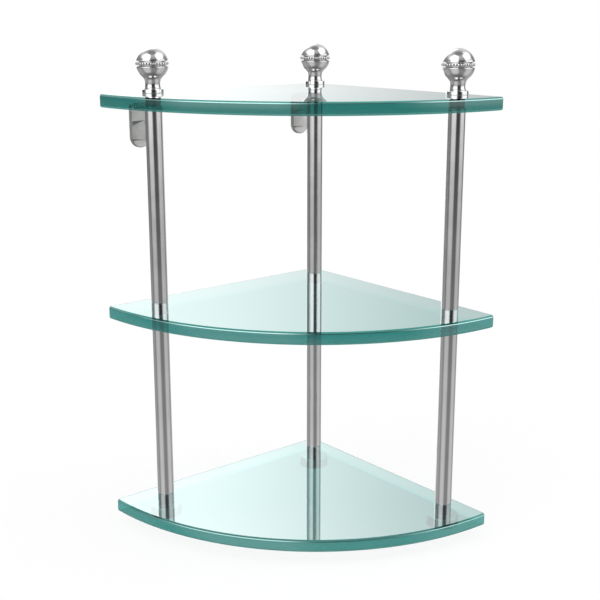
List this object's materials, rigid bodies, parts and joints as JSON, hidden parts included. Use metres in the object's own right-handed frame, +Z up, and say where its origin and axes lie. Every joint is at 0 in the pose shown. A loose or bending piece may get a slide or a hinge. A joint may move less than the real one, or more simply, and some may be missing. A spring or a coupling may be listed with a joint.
{
  "type": "glass corner shelf",
  "caption": "corner shelf of quarter-round glass plates clamped on chromed tube posts, with beaded ball finials, round feet and wall brackets",
  "frame": {"origin": "on the axis of the corner post, on the plane that the feet stand on", "axes": "+Z up; +X runs from the corner post to the right post, along the right wall; -Y runs from the corner post to the left post, along the left wall, so the room is towards +X and -Y"},
  "size_m": [0.2142, 0.2083, 0.3703],
  "materials": {
    "shelf_glass": "clear float glass with a sea-green cast, polished edges",
    "polished_chrome": "bright chrome plate",
    "satin_bracket": "satin grey plate on pressed steel",
    "zinc_steel": "zinc-plated threaded rod",
    "white_nylon": "moulded nylon",
    "clear_gasket": "soft clear plastic",
    "pad_rubber": "matt rubber"
  },
  "bodies": {
    "frame": {"foot_corner": "polished_chrome", "foot_left": "polished_chrome", "foot_pads": "pad_rubber", "foot_right": "polished_chrome", "gaskets_bottom": "clear_gasket", "gaskets_middle": "clear_gasket", "gaskets_top": "clear_gasket", "hole_sleeves_bottom": "polished_chrome", "hole_sleeves_middle": "polished_chrome", "hole_sleeves_top": "polished_chrome", "post_spacer_right": "polished_chrome", "shelf_bottom": "shelf_glass", "shelf_middle": "shelf_glass", "shelf_top": "shelf_glass", "tie_rod_corner": "zinc_steel", "tie_rod_left": "zinc_steel", "tie_rod_right": "zinc_steel", "tube_lower_corner": "polished_chrome", "tube_lower_left": "polished_chrome", "tube_lower_right": "polished_chrome", "tube_plugs_corner": "white_nylon", "tube_plugs_left": "white_nylon", "tube_plugs_right": "white_nylon", "tube_upper_corner": "polished_chrome", "tube_upper_left": "polished_chrome", "tube_upper_right": "polished_chrome", "wall_bracket_corner": "satin_bracket", "wall_bracket_left": "satin_bracket"},
    "finial_corner": {"bead_ring_corner": "polished_chrome", "finial_corner": "polished_chrome"},
    "finial_left": {"bead_ring_left": "polished_chrome", "finial_left": "polished_chrome"},
    "finial_right": {"bead_ring_right": "polished_chrome", "finial_right": "polished_chrome"},
    "collar_corner": {"collar_corner": "polished_chrome"},
    "collar_left": {"collar_left": "polished_chrome"},
    "collar_right": {"collar_right": "polished_chrome"}
  },
  "joints": [
    {"name": "finial_left_lift", "type": "slide", "parent": "frame", "child": "collar_left", "axis": [0, 0, 1], "range_m": [0, 0.0097]},
    {"name": "finial_left_turn", "type": "hinge", "parent": "collar_left", "child": "finial_left", "pos_m": [0, -0.1575, 0.3405], "axis": [0, 0, 1], "range_deg": [0, 4320]},
    {"name": "finial_corner_lift", "type": "slide", "parent": "frame", "child": "collar_corner", "axis": [0, 0, 1], "range_m": [0, 0.0097]},
    {"name": "finial_corner_turn", "type": "hinge", "parent": "collar_corner", "child": "finial_corner", "pos_m": [0, 0, 0.3405], "axis": [0, 0, 1], "range_deg": [0, 4320]},
    {"name": "finial_right_lift", "type": "slide", "parent": "frame", "child": "collar_right", "axis": [0, 0, 1], "range_m": [0, 0.0097]},
    {"name": "finial_right_turn", "type": "hinge", "parent": "collar_right", "child": "finial_right", "pos_m": [0.1575, 0, 0.3405], "axis": [0, 0, 1], "range_deg": [0, 4320]}
  ],
  "couplings": [
    {"joint": "finial_left_lift", "follows": "finial_left_turn", "m_per_rad": 0.00012732},
    {"joint": "finial_corner_lift", "follows": "finial_corner_turn", "m_per_rad": 0.00012732},
    {"joint": "finial_right_lift", "follows": "finial_right_turn", "m_per_rad": 0.00012732}
  ]
}
